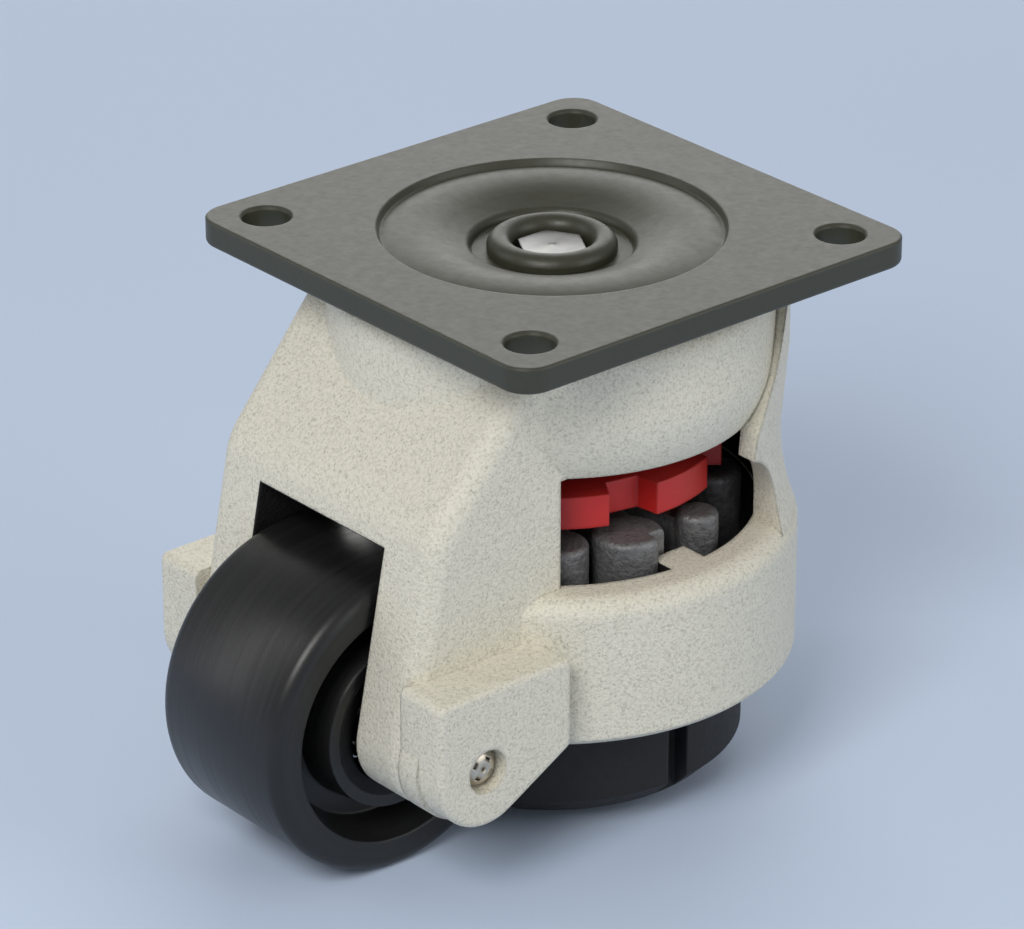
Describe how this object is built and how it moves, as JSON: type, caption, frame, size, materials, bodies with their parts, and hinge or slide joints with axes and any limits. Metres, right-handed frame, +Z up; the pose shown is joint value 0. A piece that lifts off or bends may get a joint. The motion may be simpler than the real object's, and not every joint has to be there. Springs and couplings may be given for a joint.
{
  "type": "levelling castor",
  "caption": "Top plate swivel castor with a black nylon wheel in a cast housing, and a rubber levelling foot lowered by a red thumbwheel.",
  "frame": {"origin": "centre of the top plate's mounting face, on the swivel axis", "axes": "+Z up, out of the mounting face; the wheel trails towards -X and its axle runs along Y"},
  "size_m": [0.0986, 0.073, 0.0844],
  "materials": {
    "plate_paint": "satin olive grey coat on pressed steel",
    "housing_coat": "fine speckled ivory powder coat on a light alloy casting",
    "black_nylon": "moulded, soft sheen",
    "red_plastic": "moulded, soft gloss",
    "cast_grey": "raw casting, dull and grainy",
    "black_rubber": "moulded, matt",
    "zinc_steel": "zinc plated",
    "race_steel": "hardened and ground",
    "ball_steel": "polished",
    "screw_steel": "nickel plated"
  },
  "bodies": {
    "plate": {"top_plate": "plate_paint", "kingpin": "zinc_steel", "check_race": "race_steel"},
    "housing": {"housing": "housing_coat", "main_race": "race_steel", "main_balls": "ball_steel", "check_balls": "ball_steel", "thread_bush": "zinc_steel", "axle_sleeve": "zinc_steel", "axle_screws": "screw_steel", "axle_washers": "zinc_steel", "bearing_inner_rings": "race_steel", "bearing_spacer": "zinc_steel"},
    "wheel": {"wheel": "black_nylon", "bearing_outer_rings": "race_steel", "bearing_balls": "ball_steel"},
    "foot": {"foot_casting": "cast_grey", "rubber_pad": "black_rubber", "thrust_washers": "zinc_steel"},
    "thumbwheel": {"thumbwheel": "red_plastic", "spindle": "zinc_steel", "locking_pin": "race_steel", "spindle_clip": "race_steel"}
  },
  "joints": [
    {"name": "swivel", "type": "hinge", "parent": "plate", "child": "housing", "pos_m": [0, 0, -0.0074], "axis": [0, 0, 1], "continuous": true},
    {"name": "wheel_spin", "type": "hinge", "parent": "housing", "child": "wheel", "pos_m": [-0.0391, 0, -0.0614], "axis": [0, 1, 0], "continuous": true},
    {"name": "foot_travel", "type": "slide", "parent": "housing", "child": "foot", "axis": [0, 0, 1], "range_m": [-0.0066, 0.002]},
    {"name": "thumbwheel_turn", "type": "hinge", "parent": "foot", "child": "thumbwheel", "pos_m": [0, 0, -0.0338], "axis": [0, 0, 1], "range_deg": [-1585, 481]}
  ],
  "couplings": [
    {"joint": "thumbwheel_turn", "follows": "foot_travel", "rad_per_m": 4188.8}
  ]
}
